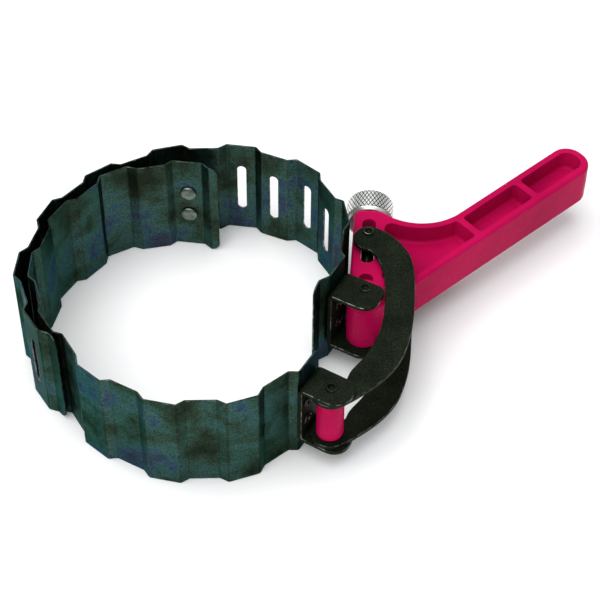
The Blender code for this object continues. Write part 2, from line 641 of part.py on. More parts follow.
def build():
    for old in list(bpy.data.objects):
        bpy.data.objects.remove(old, do_unlink=True)
    blued = material("blued_spring_steel", (0.035, 0.06, 0.062), 0.32, 0.9)
    black = material("black_steel", (0.018, 0.022, 0.018), 0.42, 0.6)
    grey = material("grey_steel", (0.16, 0.17, 0.165), 0.4, 0.9)
    nickel = material("bright_nickel", (0.72, 0.71, 0.66), 0.25, 1.0)
    crimson = material("crimson_plastic", (0.52, 0.01, 0.085), 0.3)

    ring = pivot("ring_centre", Vector((0, 0)))
    front = pivot("band_flex_axis", FLEX_AXIS)
    lever_axis = pivot("lever_axis", PIVOT_PIN)
    link_axis = pivot("link_axis", LINK_PIN)
    roller_axis = pivot("roller_axis", LINK_PIN)
    screw_axis = pivot("screw_axis", on_hub(HUB_LENGTH), BAND_MIDDLE)
    nut_place = pivot("nut_place", on_hub(NUT_PLACE), BAND_MIDDLE)

    outer_path, inner_path = band_paths()
    outer_band = band("outer_band", outer_path, ring, blued)
    cut_slots(outer_band, outer_path)
    inner_band = band("inner_band", inner_path, front, blued)

    hook, tail, tail_normal = size_hook(inner_path, outer_path, ring, black)
    rivet_pair(("hook_rivet_upper", "hook_rivet_lower"), tail - tail_normal * BAND_THICKNESS / 2,
               tail_normal, HOOK_RIVET_SPACING, BAND_THICKNESS + RIVET_GAP + HOOK_STEEL,
               HOOK_RIVET_HEAD, HOOK_RIVET_DOME, ring, grey,
               (inner_band, hook))

    grip = BAND_THICKNESS + RIVET_GAP + BRACKET_STEEL
    fold = inner_path[-2]
    along = rot(LAST_FLAT[0])
    normal = rot(LAST_FLAT[0] - 90)
    link_bracket = bracket("link_bracket", fold, along, normal, LINK_BRACKET_START, LINK_PIN,
                           front, black)
    rivet_pair(("link_bracket_rivet_upper", "link_bracket_rivet_lower"),
               fold + along * LINK_RIVET_PLACE - normal * BAND_THICKNESS / 2, normal,
               BRACKET_RIVET_SPACING, grip, RIVET_HEAD, RIVET_DOME, front, grey,
               (inner_band, link_bracket))
    cross_pin("link_pin", LINK_PIN, front, black)

    middle, along, normal = flat_of(outer_path[1:], 0)
    pivot_bracket = bracket("pivot_bracket", middle, along, normal, PIVOT_BRACKET_START, PIVOT_PIN,
                            ring, black)
    rivet_pair(("pivot_bracket_rivet_upper", "pivot_bracket_rivet_lower"),
               middle + along * PIVOT_RIVET_PLACE - normal * BAND_THICKNESS / 2, normal,
               BRACKET_RIVET_SPACING, grip, RIVET_HEAD, RIVET_DOME, ring, grey,
               (outer_band, pivot_bracket))
    cross_pin("pivot_pin", PIVOT_PIN, ring, black)

    lever(lever_axis, crimson)
    adjuster(screw_axis, nut_place, nickel, grey)
    links(link_axis, black)
    roller(roller_axis, crimson)


build()
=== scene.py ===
"""Looks for the adjustable oil filter wrench: every CAD node gets a finished piece in its place.

Lengths are millimetres about the ring's centre, as in the part's own source, and become metres in the
row frame when a piece is made. Places of pins and plates come from the CAD nodes' boxes.
"""

import math

import bmesh
import bpy
from mathutils import Matrix, Vector


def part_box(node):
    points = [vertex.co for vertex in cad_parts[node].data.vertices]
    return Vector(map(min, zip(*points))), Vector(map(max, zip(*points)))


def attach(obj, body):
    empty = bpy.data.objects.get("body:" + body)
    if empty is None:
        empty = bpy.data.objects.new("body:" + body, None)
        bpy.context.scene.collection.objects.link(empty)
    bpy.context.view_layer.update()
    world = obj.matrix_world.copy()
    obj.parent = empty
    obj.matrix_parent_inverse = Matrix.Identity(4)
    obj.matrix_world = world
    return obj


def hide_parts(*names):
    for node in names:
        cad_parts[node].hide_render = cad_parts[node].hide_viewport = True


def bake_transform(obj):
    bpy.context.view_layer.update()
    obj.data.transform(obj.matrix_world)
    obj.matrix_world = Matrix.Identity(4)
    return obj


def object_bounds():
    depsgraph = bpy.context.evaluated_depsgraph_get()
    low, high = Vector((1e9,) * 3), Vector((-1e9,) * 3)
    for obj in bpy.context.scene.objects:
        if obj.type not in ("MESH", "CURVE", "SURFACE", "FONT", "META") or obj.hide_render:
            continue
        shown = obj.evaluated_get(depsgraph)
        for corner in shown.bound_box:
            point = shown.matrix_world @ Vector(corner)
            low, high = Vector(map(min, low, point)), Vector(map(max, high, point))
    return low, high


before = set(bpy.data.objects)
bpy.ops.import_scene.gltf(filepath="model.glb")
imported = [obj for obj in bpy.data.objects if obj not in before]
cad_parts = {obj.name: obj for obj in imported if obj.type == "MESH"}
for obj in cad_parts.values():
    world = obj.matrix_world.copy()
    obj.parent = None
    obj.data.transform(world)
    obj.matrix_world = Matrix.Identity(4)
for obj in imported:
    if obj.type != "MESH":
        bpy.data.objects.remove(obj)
cad_low, cad_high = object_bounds()

MM = 0.001
RING_CENTRE = Vector((-37.07, -6.44, 0.0))
UP = Vector((0, 0, 1))


def box_mm(node):
    """A CAD node's lowest and highest corners, in ring millimetres."""
    low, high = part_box(node)
    return low / MM - RING_CENTRE, high / MM - RING_CENTRE


def middle_of(node):
    low, high = box_mm(node)
    return (low + high) / 2


# ---------------------------------------------------------------- sizes

BAND_HEIGHT = box_mm("outer_band")[1].z
BAND_MIDDLE = BAND_HEIGHT / 2
BAND_THICKNESS = 0.5
FOLD_DEPTH = 2.0  # how far outward and inward flats lie apart
FOLD_RUN = 2.5  # how much of the band's length one slanted wall takes
FOLD_RADIUS = 0.8
BAND_CORNER = 3.0
OUTER_FIRST_LIP = (-112, 4.6)  # heading and length, as for the three below
OUTER_LAST_LIP = (-50, 4.0)
INNER_FIRST_LIP = (171, 2.8)
LAST_FLAT = (59.5, 11.2)
OUTER_FOLDS = 18
INNER_FOLDS = 17
OUTER_GUIDE = [(-6, 40.7), (7, 46.3), (21, 50.9), (33, 54.2), (50, 56.5), (70, 56.0), (97, 54.0),
               (122, 53.0), (148, 53.7), (180, 54.5), (200, 53.1), (211.5, 51.6)]
INNER_GUIDE = [(88, 44.9), (103, 47.4), (117, 49.1), (130, 50.2), (158, 50.1), (182, 50.1),
               (198, 49.2), (210, 48.2), (218, 48.5), (228, 50.2), (242, 51.5), (255, 52.9), (270, 53.9),
               (281, 54.3), (294, 53.8), (307, 52.1)]
SLOT_WIDTH = 3.0
SLOT_HEIGHT = 19.5
FIRST_SLOTTED_FLAT = 3

BRACKET_WIDTH = 11.4
BRACKET_REACH = 15.6
BRACKET_STEEL = 1.4
BRACKET_HEIGHT = 24.4
BRACKET_BEND = 1.2
LINK_BRACKET_START = -1.4  # where its near edge lies, from the free end's fold
PIVOT_BRACKET_START = -6.7  # the same, from the middle of the flat it is riveted to
LINK_EAR_CORNERS = (5.4, 5.4)
PIVOT_EAR_CORNERS = (5.0, 3.0)
RIVET_GAP = 0.15
RIVET_HEAD = 2.0
RIVET_DOME = 0.8
RIVET_SHANK = 1.3
LINK_RIVET_PLACE = 2.1  # along the flat from the free end's fold
PIVOT_RIVET_PLACE = -1.9  # along the flat from its middle
BRACKET_RIVET_SPACING = 8.5
PIN_RADIUS = 1.45
PIN_FLARE = 0.4  # how far a pin's rolled ends stand out past the pin
HOLE_RADIUS = 1.6
THROUGH = 40  # a cutter's length, enough to pass right through the tool

HOOK_STEEL = 1.2
HOOK_HEIGHT = 16.0
HOOKED_FLAT = 7
HOOK_PLATE = (3.6, -3.4)  # the riveted plate's two ends, from the middle of the tail's flat
HOOK_FIN_INSIDE = 1.6  # where the fin sets off, inside the slotted flat
HOOK_FIN_BEND = 0.6  # how far before the turned end the fin starts to turn
HOOK_CLEARANCE = 0.5  # between the slotted band and the turned end outside it
HOOK_TURNED_END = (0.8, 2.9)
HOOK_CORNER = 1.5
HOOK_RIVET_HEAD = 2.8
HOOK_RIVET_SPACING = 9.7

LEVER_THICKNESS = 15.1
HUB_BOSS = 5.65
HUB_BOSS_HEIGHT = 21.0
HUB_HALF_WIDTH = 5.2
HUB_LENGTH = 39.1
HUB_ANGLE = 86.5
ARM_ANGLE = 41.47
ARM_NEAR_SIDE = 6.05
ARM_FAR_SIDE = 7.85
ARM_LENGTH = 100.4
ARM_TIP_RADIUS = 6.4
WEB_FILLET = 18.83
FILLET_PLACE = 49.04  # along the arm, where the concave web ends and the grip begins
FILLET_END = -124  # the heading, from the fillet's centre, where it reaches the hub's end
HUB_END_CORNER = (3.4, 3.0)  # where the hub's end meets the web: across the hub, and its radius
HUB_NEAR_CORNER = 2.6
LEVER_EDGE = 1.2
LEVER_DRAFT = 0.08
RIM = 2.75
POCKET_DEPTH = 6.8
POCKET_CORNER = 1.2
TIP_POCKET_START = 74.75  # places along the arm
TIP_POCKET_CORNER = 3.8
MIDDLE_POCKET = (48.15, 72.35)
WEB_POCKET = (12.1, 45.75)
WEB_POCKET_HUB = (9.3, 34.35)  # the web pocket's stretch along the hub, and its distance across it
WEB_POCKET_ACROSS = 5.2
WEB_POCKET_RIM = (ARM_ANGLE - 102, -112)  # the headings between which it follows the concave rim
SCREW_TIP = 6.7
BORE_LENGTH = 33.5
NUT_SLOT_WIDTH = 4.4
NUT_SLOT_SPAN = (15.3, 34.7)
CLIP_HOLE_PLACE = 8.2
CLIP_HOLE_RADIUS = 2.3
NUT_PLACE = 26.0
NUT_RADIUS = 2.05
NUT_LENGTH = 17.6
SCREW_RADIUS = 1.45
SCREW_BORE = 1.65
KNOB_RADIUS = 7.75
KNOB_LENGTH = 8.8
KNOB_GAP = 0.7
LINK_STEEL = 1.4
ROLLER_RADIUS = 4.25
ROLLER_LENGTH = 17.6

LINK_PIN = middle_of("link_pin").xy
PIVOT_PIN = middle_of("pivot_pin").xy

# material places on a piece: its face, its sheared or worn edges, brightened as painted highlight (on the
# knob, the knurl's flanks, darkened as painted shade), its folds, and its slots' rims, also brightened as
# painted highlight
FACE, EDGE, FOLD, PUNCHED = range(4)


def rot(degrees):
    """A unit vector in plan at this heading."""
    return Vector((math.cos(math.radians(degrees)), math.sin(math.radians(degrees))))


HUB_ALONG = rot(HUB_ANGLE)
HUB_ACROSS = rot(HUB_ANGLE - 90)
ARM_ALONG = rot(ARM_ANGLE)
ARM_ACROSS = rot(ARM_ANGLE + 90)


# places in plan, measured from the pivot along the lever's hub or arm and across it
def on_hub(along, across=0.0):
    return PIVOT_PIN + HUB_ALONG * along + HUB_ACROSS * across


def on_arm(along, across=0.0):
    return PIVOT_PIN + ARM_ALONG * along + ARM_ACROSS * across


def flat3(point, height):
    """A place or direction in plan, given a height."""
    return Vector((point.x, point.y, height))


# ---------------------------------------------------------------- outlines

def arc(centre, radius, first, last, steps):
    """Points on an arc in plan, both ends included."""
    return [centre + rot(first + (last - first) * i / steps) * radius for i in range(steps + 1)]


def quarter(steps=4):
    """Angles from zero to a quarter turn, both ends included."""
    return [math.pi / 2 * i / steps for i in range(steps + 1)]


def smooth(points, steps):
    """A Catmull-Rom curve through points, both ends included."""
    ends = [points[0] * 2 - points[1]] + list(points) + [points[-1] * 2 - points[-2]]
    curve = []
    for a, b, c, d in zip(ends, ends[1:], ends[2:], ends[3:]):
        for i in range(steps):
            t = i / steps
            curve.append(0.5 * (2 * b + (c - a) * t + (2 * a - 5 * b + 4 * c - d) * t * t
                                + (3 * b - 3 * c + d - a) * t ** 3))
    return curve + [points[-1]]


def smooth_loop(points, steps):
    """A closed Catmull-Rom curve through points, starting from the one with the lowest x."""
    first = min(range(len(points)), key=lambda i: tuple(points[i]))
    points = points[first:] + points[:first]
    curve = smooth(points[-2:] + points + points[:2], steps)
    return curve[2 * steps:(2 + len(points)) * steps]


def turned_corner(before, corner, after, radius, steps):
    """The arc that rounds one corner between two neighbouring points."""
    start_way = (before - corner).normalized()
    end_way = (after - corner).normalized()
    half = start_way.angle(end_way) / 2
    centre = corner + (start_way + end_way).normalized() * (radius / math.sin(half))
    start = corner + start_way * (radius / math.tan(half)) - centre
    sweep = math.pi - 2 * half
    turn = -1 if start_way.x * end_way.y - start_way.y * end_way.x > 0 else 1
    points = []
    for k in range(steps + 1):
        c, s = math.cos(turn * sweep * k / steps), math.sin(turn * sweep * k / steps)
        points.append(centre + Vector((start.x * c - start.y * s, start.x * s + start.y * c)))
    return points


def rounded(corners, steps=8):
    """A closed outline from (point, radius) corners."""
    outline = []
    for i, (corner, radius) in enumerate(corners):
        if radius == 0:
            outline.append(corner)
            continue
        outline += turned_corner(corners[i - 1][0], corner, corners[(i + 1) % len(corners)][0],
                                 radius, steps)
    return outline


def clean(outline):
    """The outline counter-clockwise, without points that lie on their neighbours."""
    kept = [p for p, q in zip(outline, outline[1:] + outline[:1]) if (p - q).length > 0.01]
    area = sum(p.x * q.y - p.y * q.x for p, q in zip(kept, kept[1:] + kept[:1]))
    return kept if area > 0 else kept[::-1]


def inset(outline, depth):
    """The outline moved inward by depth, outward where depth is negative."""
    moved = []
    for before, point, after in zip(outline[-1:] + outline[:-1], outline, outline[1:] + outline[:1]):
        first = (point - before).normalized()
        second = (after - point).normalized()
        inward = (Vector((-first.y, first.x)) + Vector((-second.y, second.x))).normalized()
        widen = max(inward.dot(Vector((-first.y, first.x))), 0.5)
        moved.append(point + inward * (depth / widen))
    return moved


def stretch(centre, along, length, width, steps=12):
    """A slot outline with round ends: length end to end, along one direction."""
    heading = math.degrees(math.atan2(along.y, along.x))
    half = along * (length - width) / 2
    return (arc(centre + half, width / 2, heading - 90, heading + 90, steps)
            + arc(centre - half, width / 2, heading + 90, heading + 270, steps))


def along_curve(curve, distance):
    """The point at this distance along a polyline."""
    for a, b in zip(curve, curve[1:]):
        step = (b - a).length
        if distance <= step:
            return a + (b - a) * (distance / step)
        distance -= step
    return curve[-1]


def band_path(guide, folds):
    """The band's middle line: flats alternately FOLD_DEPTH/2 outside and inside the guide curve."""
    curve = smooth([rot(degrees) * radius for degrees, radius in guide], 12)
    total = sum((b - a).length for a, b in zip(curve, curve[1:]))
    path = []
    for k in range(folds):
        for side in (-1, 1):
            at = total * k / (folds - 1) + side * FOLD_RUN / 2
            point = along_curve(curve, min(max(at, 0), total))
            if not 0 <= at <= total:
                beyond = (curve[1] - curve[0]) if at < 0 else (curve[-1] - curve[-2])
                point = point + beyond.normalized() * side * FOLD_RUN / 2
            outward_side = side if k % 2 == 0 else -side
            path.append(point + point.normalized() * outward_side * FOLD_DEPTH / 2)
    return path


def flat_of(path, k):
    """The k-th flat between folds, as (its middle, along, outward normal)."""
    a, b = path[2 * k + 1], path[2 * k + 2]
    along = (b - a).normalized()
    return (a + b) / 2, along, Vector((along.y, -along.x))


# ---------------------------------------------------------------- meshes

def outward(bm):
    """Turns a closed mesh's faces so that they all point out."""
    bmesh.ops.recalc_face_normals(bm, faces=bm.faces)
    if bm.calc_volume(signed=True) < 0:
        bmesh.ops.reverse_faces(bm, faces=bm.faces)
    return bm


def bridge(bm, rings, finishes=None, closed=False):
    """Quads between neighbouring rings of vertices; a ring of one vertex is a pole."""
    pairs = list(zip(rings, rings[1:])) + ([(rings[-1], rings[0])] if closed else [])
    for k, (lower, upper) in enumerate(pairs):
        count = max(len(lower), len(upper))
        for i in range(count):
            j = (i + 1) % count
            corners = [lower[i % len(lower)], lower[j % len(lower)],
                       upper[j % len(upper)], upper[i % len(upper)]]
            face = bm.faces.new(list(dict.fromkeys(corners)))
            face.material_index = finishes[k] if finishes else FACE


def stacked(outline, layers, finishes=None):
    """A solid through insets of one outline. layers are (height, inset), from low to high."""
    outline = clean(outline)
    bm = bmesh.new()
    rings = [[bm.verts.new((p.x, p.y, height)) for p in inset(outline, depth)]
             for height, depth in layers]
    bridge(bm, rings, finishes)
    bm.faces.new(rings[0])
    bm.faces.new(rings[-1])
    return outward(bm)


def rounded_rim(height, depth, radius):
    """Layers for stacked() that climb from height and come out to depth, round a rim of this radius."""
    return [(height + radius * (1 - math.cos(a)), depth + radius * (1 - math.sin(a)))
            for a in quarter()]


def both_sides(lower, middle):
    """Layers below a middle height, and their mirror image above it."""
    return lower + [(2 * middle - height, depth) for height, depth in reversed(lower)]


def flared_rim(face, radius, side=1):
    """Layers for a cutter that leaves a rounded rim where it comes out of a face, upward or downward."""
    layers = [(face - side * radius * (1 - math.sin(a)), -radius * (1 - math.cos(a)))
              for a in quarter()]
    return layers if side > 0 else layers[::-1]


def mirrored(lower, middle=()):
    """A (radius, height) profile's lower half, then what lies between, then the mirror image."""
    return lower + list(middle) + [(radius, -height) for radius, height in reversed(lower)]


def lathe_rim(radius, low, edge, steps=4):
    """A profile's lower rim, rounded by edge, out to the full radius."""
    return [(radius - edge * (1 - math.sin(a)), low + edge * (1 - math.cos(a)))
            for a in quarter(steps)]


def rim_finishes(layers):
    """EDGE for the two middle rows of each rounded rim, FACE for the rest."""
    half = (len(layers) - 1) // 2
    worn_and_highlit = (half // 2 - 1, half // 2, half + half // 2, half + half // 2 + 1)
    return [EDGE if k in worn_and_highlit else FACE for k in range(len(layers) - 1)]


def lathe(profile, segments=48, worn_and_highlit=()):
    """A (radius, height) profile turned about +Z, ending on the axis, or a ring where it doesn't."""
    bm = bmesh.new()
    rings = []
    for radius, height in profile:
        turns = [2 * math.pi * i / segments for i in range(segments)] if radius else [0]
        rings.append([bm.verts.new((radius * math.cos(a), radius * math.sin(a), height))
                      for a in turns])
    closed = profile[0][0] > 0
    finishes = [EDGE if k in worn_and_highlit else FACE for k in range(len(profile))]
    bridge(bm, rings, finishes, closed)
    return outward(bm)


def placed(bm, matrix):
    """The mesh moved by a matrix, its faces still pointing out."""
    bm.transform(matrix)
    return outward(bm)


def turned_to(place, direction):
    """A matrix that stands a lathed shape on a point, its +Z along a direction."""
    return Matrix.Translation(place) @ direction.to_track_quat("Z", "Y").to_matrix().to_4x4()


def in_hub(along):
    """A matrix that stands a lathed shape at this place on the screw's axis, along the axis."""
    return turned_to(flat3(on_hub(along), BAND_MIDDLE), flat3(HUB_ALONG, 0))


def drill(radius, length, place, direction, segments=40):
    """A cylinder centred on a point, along a direction, its wall in the edge finish."""
    bm = lathe([(0, -length / 2), (radius, -length / 2), (radius, length / 2), (0, length / 2)],
               segments, worn_and_highlit=(1,))
    return placed(bm, turned_to(place, direction))


def countersunk(radius, low, high, flare, place):
    """An upright drill whose two rims, at low and high, open by flare."""
    profile = [(0, low - 2), (radius + flare, low - 2), (radius + flare, low), (radius, low + flare),
               (radius, high - flare), (radius + flare, high), (radius + flare, high + 2), (0, high + 2)]
    return placed(lathe(profile, 40, worn_and_highlit=(2, 3, 4)), Matrix.Translation(flat3(place, 0)))


def merged(meshes):
    """Several closed shapes in one mesh."""
    whole = bmesh.new()
    for bm in meshes:
        spare = bpy.data.meshes.new("spare")
        bm.to_mesh(spare)
        bm.free()
        whole.from_mesh(spare)
        bpy.data.meshes.remove(spare)
    return whole


def spare_object(bm):
    mesh = bpy.data.meshes.new("spare")
    bm.to_mesh(mesh)
    bm.free()
    for _ in (FACE, EDGE, FOLD):
        mesh.materials.append(None)
    made = bpy.data.objects.new("spare", mesh)
    bpy.context.collection.objects.link(made)
    return made


def boolean(bm, cutter, operation="DIFFERENCE"):
    """The mesh after an exact Boolean with a cutter."""
    target, tool = spare_object(bm), spare_object(cutter)
    modifier = target.modifiers.new("cut", "BOOLEAN")
    modifier.operation = operation
    modifier.solver = "EXACT"
    modifier.object = tool
    evaluated = target.evaluated_get(bpy.context.evaluated_depsgraph_get())
    result = bmesh.new()
    result.from_mesh(evaluated.to_mesh())
    evaluated.to_mesh_clear()
    for used in (target, tool):
        mesh = used.data
        bpy.data.objects.remove(used)
        bpy.data.meshes.remove(mesh)
    return result


def corner_inset(distance, radius):
    """How far a round corner of this radius cuts in, at a distance from the strip's end."""
    if distance >= radius:
        return 0.0
    return radius - math.sqrt(radius ** 2 - (radius - distance) ** 2)


def strip_stations(path, bend, steps, corners, chamfer):
    """Points along a path with rounded bends, and which of the steps between them lie in a bend."""
    points, bent = [path[0]], []
    for before, corner, after in zip(path, path[1:], path[2:]):
        arc_points = turned_corner(before, corner, after, bend, steps)
        points += arc_points
        bent += [False] + [True] * steps
    points.append(path[-1])
    bent.append(False)
    near = {chamfer} | {radius * (1 - math.cos(math.pi / 2 * i / 8)) for radius in corners
                        for i in range(1, 9)}
    for end in (0, -1):
        ordered = points if end == 0 else points[::-1]
        first, second = ordered[0], ordered[1]
        room = (second - first).length - 0.05
        extra = [first + (second - first).normalized() * d for d in sorted(near) if d < room]
        ordered = [first] + extra + ordered[1:]
        points = ordered if end == 0 else ordered[::-1]
        bent = [False] * len(extra) + bent if end == 0 else bent + [False] * len(extra)
    return points, bent


def strip(path, thickness, low, high, bend, corners, place, chamfer=0.09, steps=4):
    """Sheet steel that follows a path in one plane, low to high across it.

    corners are the end corners' radii at the low and the high side. The faces take FACE, or FOLD in a
    bend, and the sheared rims take EDGE, whose bright tone is partly painted highlight. place turns (path
    x, path y, across) into ring millimetres.
    """
    points, bent = strip_stations(path, bend, steps, corners, chamfer)
    lengths = [0.0]
    for a, b in zip(points, points[1:]):
        lengths.append(lengths[-1] + (b - a).length)
    bm = bmesh.new()
    rings = []
    for i, point in enumerate(points):
        before = (point - points[i - 1]).normalized() if i else None
        after = (points[i + 1] - point).normalized() if i + 1 < len(points) else None
        along = ((before or after) + (after or before)).normalized()
        side = Vector((along.y, -along.x)) / max(along.dot(after or before), 0.5)
        distance = min(lengths[i], lengths[-1] - lengths[i])
        half = thickness / 2 - (chamfer if distance == 0 else 0)
        bottom = low + corner_inset(distance, corners[0])
        top = high - corner_inset(distance, corners[1])
        section = [(half, bottom + chamfer), (half, top - chamfer), (half - chamfer, top),
                   (chamfer - half, top), (-half, top - chamfer), (-half, bottom + chamfer),
                   (chamfer - half, bottom), (half - chamfer, bottom)]
        rings.append([bm.verts.new(place @ Vector((point.x + side.x * u, point.y + side.y * u, v)))
                      for u, v in section])
    for k, (a, b) in enumerate(zip(rings, rings[1:])):
        for i in range(8):
            j = (i + 1) % 8
            face = bm.faces.new((a[i], a[j], b[j], b[i]))
            face.material_index = (FOLD if bent[k] else FACE) if i % 2 == 0 else EDGE
    for ring in (rings[0], rings[-1]):
        bm.faces.new(ring).material_index = EDGE
    return outward(bm)


# ---------------------------------------------------------------- materials

def add(tree, kind, inputs=None, **settings):
    """A shader node with its settings, and its inputs set to values or linked to sockets."""
    made = tree.nodes.new(kind)
    for key, value in settings.items():
        setattr(made, key, value)
    for key, value in (inputs or {}).items():
        if isinstance(value, bpy.types.NodeSocket):
            tree.links.new(value, made.inputs[key])
        else:
            made.inputs[key].default_value = value
    return made


def noise(tree, vector, scale, detail=3.0, roughness=0.5):
    """Noise with this many bumps to the metre."""
    return add(tree, "ShaderNodeTexNoise", {"Vector": vector, "Scale": scale, "Detail": detail,
                                            "Roughness": roughness}).outputs["Fac"]


def ramp(tree, factor, stops):
    """A colour ramp: stops are (position, colour)."""
    made = add(tree, "ShaderNodeValToRGB", {"Fac": factor})
    elements = made.color_ramp.elements
    while len(elements) < len(stops):
        elements.new(0.5)
    for element, (position, colour) in zip(elements, stops):
        element.position = position
        element.color = (*colour, 1)
    return made.outputs["Color"]


def spread(tree, factor, low, high, start=0.3, end=0.7):
    """A noise value spread over low to high."""
    return add(tree, "ShaderNodeMapRange", {"Value": factor, "From Min": start, "From Max": end,
                                            "To Min": low, "To Max": high}).outputs["Result"]


def mix(tree, factor, first, second, blend="MIX"):
    """Two colours mixed. The node keeps its colour sockets at these numbers."""
    return add(tree, "ShaderNodeMix", {0: factor, 6: first, 7: second}, data_type="RGBA",
               blend_type=blend).outputs[2]


def maths(tree, operation, *values):
    return add(tree, "ShaderNodeMath", dict(enumerate(values)), operation=operation).outputs[0]


def bump(tree, height, strength, distance, normal=None):
    inputs = {"Height": height, "Strength": strength, "Distance": distance}
    if normal:
        inputs["Normal"] = normal
    return add(tree, "ShaderNodeBump", inputs).outputs["Normal"]


def start_material(name, metallic, **constants):
    """A Principled material. Gives the material, its tree, its shader and its object coordinates."""
    made = bpy.data.materials.new(name)
    made.use_nodes = True
    tree = made.node_tree
    shader = tree.nodes["Principled BSDF"]
    shader.inputs["Metallic"].default_value = metallic
    for key, value in constants.items():
        shader.inputs[key.replace("_", " ").title().replace("Ior", "IOR")].default_value = value
    return made, tree, shader, add(tree, "ShaderNodeTexCoord").outputs["Object"]


def feed(tree, shader, base, roughness, normal):
    """Links what a material worked out to its shader."""
    for key, socket in (("Base Color", base), ("Roughness", roughness), ("Normal", normal)):
        tree.links.new(socket, shader.inputs[key])


def streaks(tree, coords, along_scale, across_scale):
    """Noise drawn out round the ring, like rolling marks along a band."""
    local = add(tree, "ShaderNodeVectorMath", {0: coords, 1: RING_CENTRE * MM}, operation="SUBTRACT")
    parts = add(tree, "ShaderNodeSeparateXYZ", {0: local.outputs[0]})
    ring_radius = 52 * MM
    turn = maths(tree, "ARCTAN2", parts.outputs["Y"], parts.outputs["X"])
    along = maths(tree, "MULTIPLY", turn, ring_radius * along_scale)
    across = maths(tree, "MULTIPLY", parts.outputs["Z"], across_scale)
    joined = add(tree, "ShaderNodeCombineXYZ", {"X": along, "Y": across})
    return noise(tree, joined.outputs[0], 1.0, 4.0, 0.6)


def blued_steel(name, colours, roughness):
    """Heat-blued spring steel: mottled tones over a dark oxide, with faint rolling marks."""
    made, tree, shader, coords = start_material(name, 0.94, specular_ior_level=0.2,
                                                  specular_tint=(0.36, 0.46, 0.46, 1))
    broad = noise(tree, coords, 48.0, 2.0, 0.5)
    patch = noise(tree, coords, 170.0, 4.0, 0.6)
    grain = noise(tree, coords, 1900.0, 2.0, 0.6)
    rolled = streaks(tree, coords, 60.0, 700.0)
    tone = maths(tree, "MULTIPLY_ADD", patch, 0.34, maths(tree, "MULTIPLY", broad, 0.66))
    base = ramp(tree, tone, colours)
    shade = ramp(tree, rolled, [(0.3, (0.86, 0.87, 0.86)), (0.7, (1.10, 1.09, 1.08))])
    base = mix(tree, 1.0, base, shade, "MULTIPLY")
    speck = ramp(tree, grain, [(0.34, (0.50, 0.52, 0.50)), (0.62, (1.45, 1.40, 1.42))])
    base = mix(tree, 0.9, base, speck, "MULTIPLY")
    waves = bump(tree, broad, 0.35, 0.0012)
    lines = bump(tree, rolled, 0.08, 0.00012, waves)
    feed(tree, shader, base, spread(tree, patch, roughness - 0.07, roughness + 0.1),
         bump(tree, grain, 0.12, 0.00008, lines))
    return made


def rim_steel_with_painted_highlight(name, dark, light):
    """Rims where the finish is cut or rubbed, with painted highlight: brighter metal showing in places,
    which also stands in for thin lines of light along the edges.
    """
    made, tree, shader, coords = start_material(name, 0.95)
    worn_and_highlit = noise(tree, coords, 420.0, 4.0, 0.65)
    feed(tree, shader, ramp(tree, worn_and_highlit, [(0.46, dark), (0.66, light)]), spread(tree, worn_and_highlit, 0.5, 0.3),
         bump(tree, noise(tree, coords, 3000.0), 0.2, 0.00006))
    return made


def black_oxide(name):
    """Black oxide on pressed steel: satin, faintly green, with a fine grain and a few bright specks."""
    made, tree, shader, coords = start_material(name, 0.12, specular_ior_level=0.045)
    cloud = noise(tree, coords, 130.0, 4.0, 0.6)
    grain = noise(tree, coords, 3200.0, 3.0, 0.65)
    base = ramp(tree, cloud, [(0.35, (0.0038, 0.0060, 0.0032)), (0.65, (0.0080, 0.0115, 0.0060))])
    speck = noise(tree, coords, 1700.0, 2.0, 0.6)
    pepper = ramp(tree, speck, [(0.35, (0.45, 0.45, 0.45)), (0.65, (1.7, 1.7, 1.6))])
    base = mix(tree, 1.0, base, pepper, "MULTIPLY")
    rubbed = ramp(tree, grain, [(0.66, (0, 0, 0)), (0.76, (1, 1, 1))])
    base = mix(tree, rubbed, base, (0.10, 0.11, 0.085, 1))
    waves = bump(tree, cloud, 0.12, 0.0006)
    feed(tree, shader, base, spread(tree, cloud, 0.36, 0.52), bump(tree, grain, 0.22, 0.00008, waves))
    return made


def crimson_moulding(name):
    """Glossy crimson plastic: slight flow marks, a fine mould grain and softer, rubbed patches."""
    made, tree, shader, coords = start_material(name, 0.0, specular_ior_level=0.025)
    flow = noise(tree, coords, 38.0, 3.0, 0.5)
    haze = noise(tree, coords, 240.0, 4.0, 0.6)
    grain = noise(tree, coords, 2400.0, 2.0, 0.5)
    base = ramp(tree, flow, [(0.35, (0.35, 0.0022, 0.052)), (0.65, (0.45, 0.0036, 0.068))])
    waves = bump(tree, flow, 0.10, 0.0008)
    feed(tree, shader, base, spread(tree, haze, 0.22, 0.36), bump(tree, grain, 0.05, 0.00005, waves))
    return made


def plain_metal(name, dark, light, roughness, grain_strength):
    """Bare or plated metal with a little tarnish."""
    made, tree, shader, coords = start_material(name, 1.0)
    tarnish = noise(tree, coords, 330.0, 4.0, 0.6)
    grain = noise(tree, coords, 3600.0, 2.0, 0.6)
    feed(tree, shader, ramp(tree, tarnish, [(0.35, dark), (0.6, light)]),
         spread(tree, tarnish, roughness + 0.1, roughness), bump(tree, grain, grain_strength, 0.00006))
    return made


BLUED_TONES = [(0.36, (0.014, 0.020, 0.012)), (0.44, (0.024, 0.040, 0.026)), (0.50, (0.030, 0.066, 0.052)),
               (0.55, (0.036, 0.080, 0.074)), (0.59, (0.030, 0.062, 0.090)), (0.66, (0.036, 0.040, 0.064))]
FOLD_TONES = [(0.40, (0.014, 0.018, 0.011)), (0.50, (0.026, 0.044, 0.032)), (0.60, (0.036, 0.070, 0.062))]
